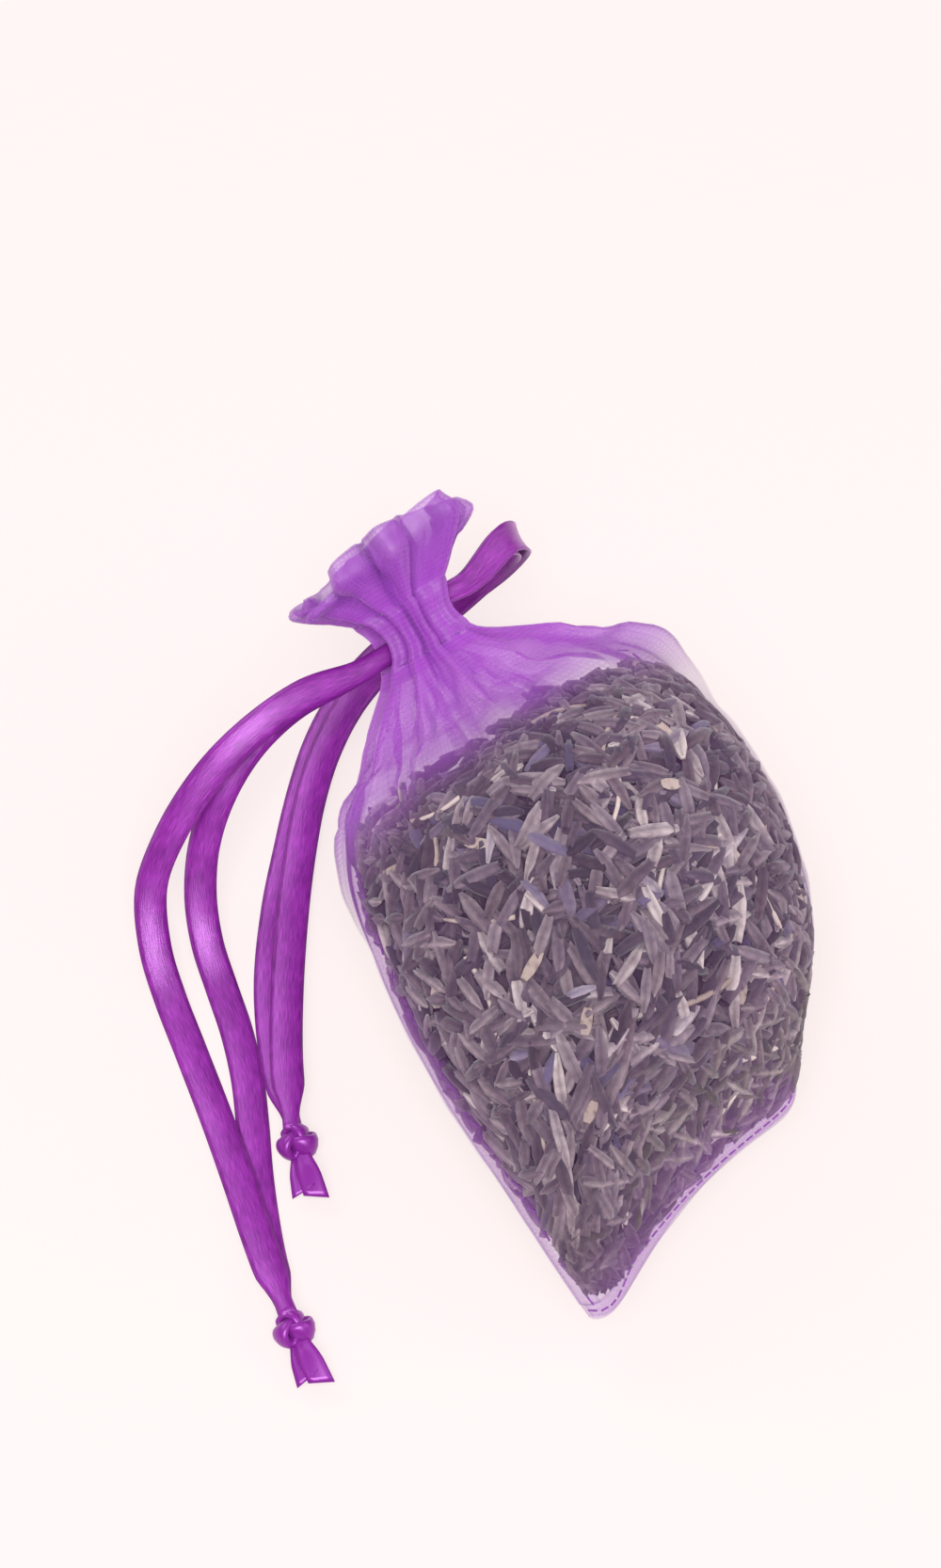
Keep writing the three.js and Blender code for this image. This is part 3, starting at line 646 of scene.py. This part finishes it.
def knotPiece(name, node, body, tailName):
    route = [Vector(p) for p in tailRoutes[tailName]]
    heading = route[-1] - route[-2]
    heading.z = 0
    heading.normalize()
    middle = route[-1] + heading * (pouch["clearance"] + knot["length"] / 2)
    middle.z = knot["diameter"] / 2 - knot["sink"]
    side = Vector((0, 0, 1)).cross(heading)
    turn = Matrix((side, heading, Vector((0, 0, 1)))).transposed()
    bm = bmesh.new()
    loop = []
    for i in range(knot["steps"]):  # a trefoil, a little flattened
        t = fullTurn * i / knot["steps"]
        loop.append(Vector((math.sin(t) + 2 * math.sin(2 * t), 0.85 * (math.cos(t) - 2 * math.cos(2 * t)),
                            -1.15 * math.sin(3 * t))) * (knot["reach"] / 4))
    for i, point in enumerate(loop):
        ring = bmesh.ops.create_circle(bm, segments=knot["segments"], radius=0.5)["verts"]
        tangent = (loop[(i + 1) % len(loop)] - loop[i - 1]).normalized()
        out = (point - tangent * point.dot(tangent)).normalized()
        for vert in ring:
            flat = tangent.cross(out) * (vert.co.x * knot["bandWidth"]) + out * (vert.co.y * knot["bandThickness"])
            vert.co = toFrame(middle + turn @ (point + flat))
    bmesh.ops.bridge_loops(bm, edges=bm.edges[:], use_cyclic=True)
    bmesh.ops.recalc_face_normals(bm, faces=bm.faces[:])
    bm.loops.layers.uv.new("cloth")
    for sign in (-1, 1):  # the cut ends lie on each other, one longer, both cut aslant
        splay = Vector((knot["splay"] * sign, 1, knot["rise"])).normalized()
        grid = bmesh.ops.create_grid(bm, x_segments=4, y_segments=9, size=0.5)["verts"]
        for vert in grid:
            u, v = vert.co.x, vert.co.y + 0.5
            breadth = pouch["ribbonWidth"] * mix(*knot["cutWidth"], smoothStep(v, 0, 0.6))
            along = knot["length"] / 2 - knot["tucked"] + v * (knot["cutEnd"] + 0.4 * sign + 0.8 * sign * u)
            local = splay * along + Vector((u * breadth, 0, 0.3 * sign + 0.5 * math.sin(2.4 * v + sign) * u))
            local.z = max(local.z - 0.35 * v * v * (1 + sign), knot["overFloor"] - middle.z)
            vert.co = toFrame(middle + turn @ local)
        faces = list(dict.fromkeys(face for vert in grid for face in vert.link_faces))
        bmesh.ops.solidify(bm, geom=faces, thickness=ribbon["thickness"] * mm)
    return finishPiece(bm, name, body, satin, [node])


knots = {side: knotPiece(f"{side}Knot", f"{side}_knot", f"{side}_drawstring", f"{side}FrontTail")
         for side in ("left", "right")}
for side, tied in knots.items():
    for layer in ("Front", "Back"):
        ribbonTail(f"{side}{layer}Tail", f"{side}_{layer.lower()}_tail", f"{side}_drawstring")
print("ribbons tied")


# the creased ribbons inside the casing, each once round from its own slit
casing = {"columns": 6, "rows": 200, "crease": 0.16}


def ribbonLoop(name, node, height, firstSide):
    section = neckSection(height, slotHalfWidth)
    width = pouch["creasedWidth"]

    def place(u, v):
        side = firstSide if v < 0.5 else -firstSide
        share = v * 2 if v < 0.5 else v * 2 - 1
        angle = side * mix(-rightAngle, rightAngle, share)
        crease = casing["crease"] * math.sin(9 * u + 40 * v)
        return clothPoint(section, side, angle, tunnelDepth / 2 + crease) + neckAxis * (width * (u - 0.5))

    cloth = clothGrid(casing["columns"], casing["rows"], width, fullTurn * pouch["neckRadius"], place)
    finishPiece(cloth, name, "pouch", satin, [node], ribbon["thickness"])


ribbonLoop("leftRibbonLoop", "left_ribbon_loop", leftRibbonHeight, 1)
ribbonLoop("rightRibbonLoop", "right_ribbon_loop", rightRibbonHeight, -1)


# stitches: short barrels of thread, laid end to end along a line of points
stitch = {"length": 1.25, "gap": 0.55, "diameter": 0.22, "proud": 0.12, "samples": 240}


def stitchRow(name, line, replaced):
    bm = bmesh.new()
    radius = stitch["diameter"] * mm / 2
    points, _ = evenly(line, stitch["length"] + stitch["gap"])
    for a, b in zip(points, points[1:]):
        direction = (b - a).normalized()
        end = a + direction * min(stitch["length"], (b - a).length * 0.7)
        barrel = bmesh.ops.create_cone(bm, cap_ends=True, segments=6, radius1=radius, radius2=radius,
                                       depth=(end - a).length * mm)["verts"]
        turn = direction.to_track_quat("Z", "Y").to_matrix().to_4x4()
        bmesh.ops.transform(bm, matrix=Matrix.Translation(toFrame((a + end) / 2)) @ turn, verts=barrel)
    return finishPiece(bm, name, "pouch", thread, replaced)


def panelLine(section, side, depth):
    return [clothPoint(section, side, mix(-rightAngle, rightAngle, i / stitch["samples"]), depth)
            for i in range(stitch["samples"] + 1)]


stitchDepth = -pouch["clothThickness"] / 2 - stitch["proud"]
for side, sideName in ((1, "front"), (-1, "back")):
    for height, rowName in ((0, "lower"), (casingHeight, "upper")):
        stitchRow(f"{sideName}{rowName.title()}CasingStitches", panelLine(neckSection(height), side, stitchDepth),
                  [f"{sideName}_{rowName}_casing_stitching"])


# seams: the two raw edges turned inside and bound, a denser strip along each side and the bottom
seam = {"allowance": 2, "overhang": 0.4, "rows": 90, "gather": 0.28, "sideSpan": (0.02, 0.95), "sideLength": 70,
        "bottomLength": 64, "stitchShare": 0.4, "wander": 0.35, "wanderStep": 0.55, "samples": 300}


def sideSeamPoint(sign, share, inward):
    section = bodySection(share)
    section.update(front=0, slot=0)
    return sectionPoint(section, 1, sign * rightAngle, puffAt(share, sign * rightAngle) - inward)


def bottomSeamPoint(across, inward):
    section = bodySection(max(inward, 0) / pouch["bodyLength"])
    section.update(front=0, slot=0)
    return sectionPoint(section, 1, math.asin(across), 0)


def seamStrip(name, length, place):
    cloth = clothGrid(4, seam["rows"], seam["allowance"], length,
                      lambda u, v: place(v, u * seam["allowance"] - seam["overhang"]),
                      {"gather": lambda u, v: seam["gather"]})
    strip = finishPiece(cloth, f"{name}SeamStrip", "pouch", organza, [], panel["thickness"])
    inward = seam["stitchShare"] * seam["allowance"]
    line = [place(i / seam["samples"], inward + seam["wander"] * math.sin(i * seam["wanderStep"]))
            for i in range(seam["samples"] + 1)]
    return [strip, stitchRow(f"{name}SeamStitches", line, [f"{name}_seam_thread"])]


sewn = []
for sign, sideName in ((-1, "left"), (1, "right")):
    sewn += seamStrip(sideName, seam["sideLength"],
                      lambda v, inward: sideSeamPoint(sign, mix(*seam["sideSpan"], v), inward))
sewn += seamStrip("bottom", seam["bottomLength"], lambda v, inward: bottomSeamPoint(mix(-1, 1, v), inward))
print("seams and stitches sewn")


# lavender: ribbed calyxes a few millimetres long, in a handful of shapes
heap = {
    "buds": 2900, "crumbs": 700, "stems": 26, "shreds": 26, "fillEnd": 0.8, "fillStart": 0.02, "edgeStart": 0.012,
    "layers": 3.2, "length": (4.2, 6.6), "diameter": (1.25, 1.85), "crumbLength": (2.6, 5.4), "crumbWidth": (1, 1.6),
    "shapes": 8, "seed": 11, "looseBuds": 8, "looseStems": 2, "looseSize": (6.3, 2),
}
# a piece that doesn't fit is turned and tried again, deeper, shorter and thinner down to a limit
laying = {
    "bud": {"tries": 11, "tilt": 0.3, "spare": 0.12, "deeper": 0.2, "shorter": (0.9, 2.4), "thinner": (0.93, 1)},
    "crumb": {"tries": 12, "tilt": 0, "spare": 0, "deeper": 0.12, "shorter": (0.88, 1.3), "thinner": (0.92, 0.55)},
    "straw": {"tries": 10, "tilt": 0, "spare": 0.12, "deeper": 0.2, "shorter": (0.93, 0), "thinner": (1, 0)},
}
dice = random.Random(heap["seed"])


def longBarrel(segments, topRadius, cuts):
    bm = bmesh.new()
    bmesh.ops.create_cone(bm, cap_ends=True, segments=segments, radius1=0.5, radius2=topRadius, depth=1)
    longEdges = [edge for edge in bm.edges if abs(edge.verts[0].co.z - edge.verts[1].co.z) > 0.5]
    bmesh.ops.subdivide_edges(bm, edges=longEdges, cuts=cuts)
    return bm


def calyxMesh(number):
    bm = longBarrel(8, 0.5, 2)
    bend = dice.uniform(-0.12, 0.12)
    mouth = dice.uniform(0.5, 0.85)
    alongLayer = bm.verts.layers.float.new("along")
    ribLayer = bm.verts.layers.float.new("rib")
    bm.verts.layers.float.new("tone")
    bm.verts.layers.float.new("blue")
    for vert in bm.verts:
        share = vert.co.z + 0.5
        rib = 1.08 if round(math.degrees(math.atan2(vert.co.y, vert.co.x)) / 45) % 2 else 0.86
        belly = mix(0.34, mouth, share) + 0.62 * math.sin(math.pi * min(share * 1.06, 1)) ** 0.8 * (1 - 0.25 * share)
        vert.co.x = vert.co.x * rib * min(belly, 1.05) + bend * math.sin(math.pi * share)
        vert.co.y *= rib * min(belly, 1.05)
        if share > 0.95 and rib > 1:  # the ribs end in short teeth round the mouth
            vert.co.z += 0.05
        vert[alongLayer] = share
        vert[ribLayer] = 1 if rib > 1 else 0
    return meshFrom(bm, f"calyxShape{number}")


def scatter(bm, shape, matrix, values):
    copy = shape.copy()
    copy.transform(matrix)
    for name, value in values.items():
        copy.attributes[name].data.foreach_set("value", [value] * len(copy.vertices))
    bm.from_mesh(copy)
    bpy.data.meshes.remove(copy)


def layMatrix(side, angle, share, depth, yaw, tilt):
    def at(turn, along):
        return sectionPoint(bodySection(share + along), side, angle + turn, -depth)
    across = (at(0.02, 0) - at(-0.02, 0)).normalized()
    along = (at(0, 0.01) - at(0, -0.01)).normalized()
    out = across.cross(along).normalized() * side
    axis = (across * math.cos(yaw) + along * math.sin(yaw)) * math.cos(tilt) + out * math.sin(tilt)
    return Matrix.Translation(toFrame(at(0, 0))) @ axis.to_track_quat("Z", "Y").to_matrix().to_4x4()


def scaled(length, width):
    return Matrix.Diagonal((width * mm, width * mm, length * mm, 1))


# steps that fill a square evenly, without clumps or rows
def evenSpot(index, acrossStart=0, alongStart=0):
    return (index * 0.754877 + acrossStart) % 1, (index * 0.569840 + alongStart) % 1


def fillLine(side, angle):
    return heap["fillEnd"] + 0.035 * noise.noise(Vector((2.2 * math.sin(angle), side, 4.4)))


# how full of the pouch a point lies: under 1 is inside the cloth by at least the margin
def fullness(point, margin):
    share = point.y / pouch["bodyLength"]
    for _ in range(3):
        section = bodySection(min(max(share, 0), 1))
        along = seamCurve(section, (point.x - section["centre"].x) / section["width"])
        out = (point.z - section["centre"].z) / math.cos(section["tilt"])
        share = (point.y - along + math.sin(section["tilt"]) * out) / pouch["bodyLength"]
    if share < heap["edgeStart"]:
        return 2
    section = bodySection(min(share, 1))
    folds = 1.2 * gathers["foldHeight"] * smoothStep(share, 0.58, 0.82)
    rise = max((section["front"] if out > 0 else section["back"]) - margin - folds, 0.05)
    edge = abs(point.x - section["centre"].x) / max(section["width"] - margin, 0.05)
    under = (pouch["clothThickness"] + margin - point.z) * 4 + 1
    return max(edge ** 2 + (abs(out) / rise) ** (2 / pouch["sectionPower"]), under)


def fits(matrix, width, spare):
    back = [(matrix @ Vector((0, 0, end))) / mm - frameShift for end in (-0.5, -0.25, 0, 0.25, 0.5)]
    margins = (0.7, 0.95, 1, 0.95, 0.7)
    return all(fullness(point, width / 2 * margin + spare) < 1 for point, margin in zip(back, margins))


def findPlace(kind, side, angle, share, depth, length, width):
    way = laying[kind]
    for _ in range(way["tries"]):
        tilt = dice.uniform(-way["tilt"], way["tilt"]) if way["tilt"] else 0
        matrix = layMatrix(side, angle, share, depth, dice.uniform(0, fullTurn), tilt) @ scaled(length, width)
        if fits(matrix, width, way["spare"]):
            return matrix, depth
        depth += way["deeper"]
        length = max(length * way["shorter"][0], way["shorter"][1])
        width = max(width * way["thinner"][0], way["thinner"][1])
    return None, depth


shapes = [calyxMesh(i) for i in range(heap["shapes"])]
budMeshes = {1: bmesh.new(), -1: bmesh.new()}
laid = 0
for index in range(heap["buds"]):
    side = 1 if index % 5 < 3 else -1
    acrossSpot, alongSpot = evenSpot(index)
    reach = mix(-1, 1, acrossSpot)
    angle = math.asin(0.995 * reach) if index % 2 else 0.98 * rightAngle * reach
    share = mix(heap["fillStart"], fillLine(side, angle), alongSpot)
    length, width = dice.uniform(*heap["length"]), dice.uniform(*heap["diameter"])
    depth = width / 2 + 0.1 + heap["layers"] * dice.random() ** 1.8
    matrix, depth = findPlace("bud", side, angle, share, depth, length, width)
    if matrix is None:
        continue
    laid += 1
    tone = min(max(dice.gauss(0.4, 0.24), 0), 0.9) - 0.11 * depth  # deeper buds are painted darker as shade
    blue = dice.uniform(0.25, 0.6) if dice.random() < 0.06 else dice.uniform(0, 0.12)
    scatter(budMeshes[side], dice.choice(shapes), matrix, {"tone": tone, "blue": blue})

# crumbs of calyx work into the narrow edges along the seams
for index in range(heap["crumbs"]):
    side = 1 if index % 2 else -1
    low = index % 4 < 2
    acrossSpot, alongSpot = evenSpot(index)
    reach = mix(-0.97, 0.97, acrossSpot)
    edge = reach if low else math.copysign(mix(0.8, 0.995, abs(reach)), reach)
    share = mix(heap["edgeStart"], 0.13 if low else 0.76, alongSpot)
    length, width = dice.uniform(*heap["crumbLength"]), dice.uniform(*heap["crumbWidth"])
    matrix, _ = findPlace("crumb", side, math.asin(edge), share, width / 2 + 0.1, length, width)
    if matrix is not None:
        scatter(budMeshes[side], dice.choice(shapes), matrix, {"tone": dice.uniform(0.05, 0.5), "blue": 0.05})
        laid += 1
print("buds and crumbs laid", laid)

budNodes = [f"lavender_bud_{i + 1}" for i in range(heap["looseBuds"])]
for index, node in enumerate(budNodes):  # the buds that are solids of their own keep their places
    points = [vert.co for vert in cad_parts[node].data.vertices]
    middle = sum(points, Vector()) / len(points)
    axis = max((p - middle for p in points), key=lambda p: p.length).normalized()
    turn = axis.to_track_quat("Z", "Y").to_matrix().to_4x4()
    matrix = Matrix.Translation(middle) @ turn @ scaled(*heap["looseSize"])
    scatter(budMeshes[1], shapes[index % len(shapes)], matrix,
            {"tone": dice.uniform(0.2, 0.6), "blue": dice.uniform(0, 0.2)})
finishPiece(budMeshes[1], "lavenderHeap", "pouch", calyx, ["lavender_fill", *budNodes])
finishPiece(budMeshes[-1], "lavenderUnder", "pouch", calyx)


# stems and petal shreds among the buds
def stemMesh():
    bm = longBarrel(6, 0.38, 3)
    bm.verts.layers.float.new("tone")
    for vert in bm.verts:
        vert.co.x += 0.9 * math.sin(math.pi * (vert.co.z + 0.5))
    return meshFrom(bm, "stemShape")


def shredMesh():
    bm = bmesh.new()
    bmesh.ops.create_grid(bm, x_segments=2, y_segments=4, size=0.5)
    bm.verts.layers.float.new("tone")
    for vert in bm.verts:
        across, along = vert.co.x, vert.co.y
        vert.co = Vector((across * (1 - 1.6 * along ** 2), 0.5 * across ** 2 + 0.3 * along ** 2, along))
    bmesh.ops.solidify(bm, geom=bm.faces[:], thickness=0.08)
    return meshFrom(bm, "shredShape")


strawKinds = {
    "stem": {"shape": stemMesh(), "tone": 0.7, "length": (7, 13), "width": (0.45, 0.8)},
    "shred": {"shape": shredMesh(), "tone": 0.35, "length": (2, 3.6), "width": (0.8, 1.5)},
}
stemNodes = [f"lavender_stem_{i + 1}" for i in range(heap["looseStems"])]
strawMesh = bmesh.new()
for index in range(heap["stems"] + heap["shreds"]):
    isStem = index < heap["stems"]
    kind = strawKinds["stem" if isStem else "shred"]
    side = 1 if index % 4 else -1
    acrossSpot, alongSpot = evenSpot(index, 0.3, 0.6)
    angle = math.asin(mix(-0.93, 0.93, acrossSpot))
    share = mix(0.09, fillLine(side, angle) + 0.01, alongSpot)
    tone, length, width = dice.uniform(0, kind["tone"]), dice.uniform(*kind["length"]), dice.uniform(*kind["width"])
    depth = (0.6 + 0.006 * length ** 2 if isStem else 0.45) + 0.7 * dice.random()  # a long bent stem needs room
    matrix, _ = findPlace("straw", side, angle, share, depth, length, width)
    if matrix is not None:
        scatter(strawMesh, kind["shape"], matrix, {"tone": tone})
finishPiece(strawMesh, "lavenderStems", "pouch", straw, stemNodes)


# the closed middle of the heap, under the buds
core = {"around": 48, "along": 28, "start": 0.09, "below": 0.03, "inset": 2.6, "blunt": 0.22}


def heapCore():
    bm = bmesh.new()
    bmesh.ops.create_uvsphere(bm, u_segments=core["around"], v_segments=core["along"], radius=1)
    for vert in bm.verts:
        lie = vert.co.z
        section = bodySection(mix(core["start"], heap["fillEnd"] - core["below"], (lie + 1) / 2))
        around = math.atan2(vert.co.x, vert.co.y)
        side = 1 if abs(around) <= rightAngle else -1
        angle = around if side > 0 else math.copysign(math.pi, around) - around
        size = max(1 - lie * lie, 0) ** core["blunt"]
        vert.co = toFrame(section["centre"].lerp(sectionPoint(section, side, angle, -core["inset"]), size))
    bmesh.ops.recalc_face_normals(bm, faces=bm.faces[:])
    # the core's dark colour is painted shade
    finishPiece(bm, "lavenderCore", "pouch", crumbs)


heapCore()
print("lavender filled")

# pale floor that keeps a soft shadow, and the same pale colour behind it
backdrop = {"colour": "#FFF3F2", "size": 3, "glow": 0.85, "strength": 0.935}


def paleFloor():
    material, add = newMaterial("Matt paper, pale pink")
    tint = hexColour(backdrop["colour"])
    matt = add("BsdfDiffuse", {"Color": tint})
    glow = add("Emission", {"Color": tint, "Strength": backdrop["strength"]})
    seen = add("LightPath")
    rays = seen.outputs["Is Camera Ray"]
    for kind in ("Is Glossy Ray", "Is Transmission Ray"):
        rays = add("Math", {0: rays, 1: seen.outputs[kind]}, operation="MAXIMUM")
    share = add("Math", {0: rays, 1: backdrop["glow"]}, operation="MULTIPLY")
    both = add("MixShader", {0: share, 1: matt, 2: glow})
    add("OutputMaterial", {0: both})
    bm = bmesh.new()
    bmesh.ops.create_grid(bm, x_segments=1, y_segments=1, size=backdrop["size"])
    floor = bpy.data.objects.new("floor", meshFrom(bm, "floor"))
    floor.data.materials.append(material)
    scene.collection.objects.link(floor)


def softWorld():
    world = bpy.data.worlds.new("studio")
    scene.world = world
    world.use_nodes = True
    world.node_tree.nodes.clear()
    add = partial(addNode, world.node_tree)
    glow = add("Background", {"Color": hexColour("#F4EEF0"), "Strength": 0.32})
    add("OutputWorld", {0: glow})


# soft boxes: a strong one above the front left, a wide weak one from the right and a weak one behind
softBoxes = {
    "keyLight": {"place": (-0.25, -0.3, 0.75), "size": 0.5, "power": 9},
    "fillLight": {"place": (0.55, -0.25, 0.45), "size": 0.7, "power": 2.5},
    "backLight": {"place": (-0.1, 0.6, 0.5), "size": 0.5, "power": 2.5},
}


def softLights():
    for name, box in softBoxes.items():
        light = bpy.data.lights.new(name, "AREA")
        light.size = box["size"]
        light.energy = box["power"]
        lamp = bpy.data.objects.new(name, light)
        lamp.location = box["place"]
        lamp.rotation_euler = (-Vector(box["place"])).to_track_quat("-Z", "Y").to_euler()
        scene.collection.objects.link(lamp)


# the photograph looks down on the sachet, its neck towards the upper left
view = {"azimuth": math.radians(-35), "elevation": math.radians(60), "lens": 90, "distance": 0.415,
        "aim": (-0.0115, -0.003, 0.012), "raise": 0.0165}


def photoCamera():
    camera = bpy.data.objects.new("camera", bpy.data.cameras.new("camera"))
    scene.collection.objects.link(camera)
    camera.data.lens = view["lens"]
    az, el = view["azimuth"], view["elevation"]
    back = Vector((math.sin(az) * math.cos(el), -math.cos(az) * math.cos(el), math.sin(el)))
    turn = back.to_track_quat("Z", "Y")
    camera.rotation_euler = turn.to_euler()
    camera.location = Vector(view["aim"]) + back * view["distance"] + turn @ Vector((0, view["raise"], 0))
    scene.camera = camera


paleFloor()
softWorld()
softLights()
photoCamera()
scene.view_settings.view_transform = "Standard"
print("stage, light and camera set")

bpy.context.view_layer.update()
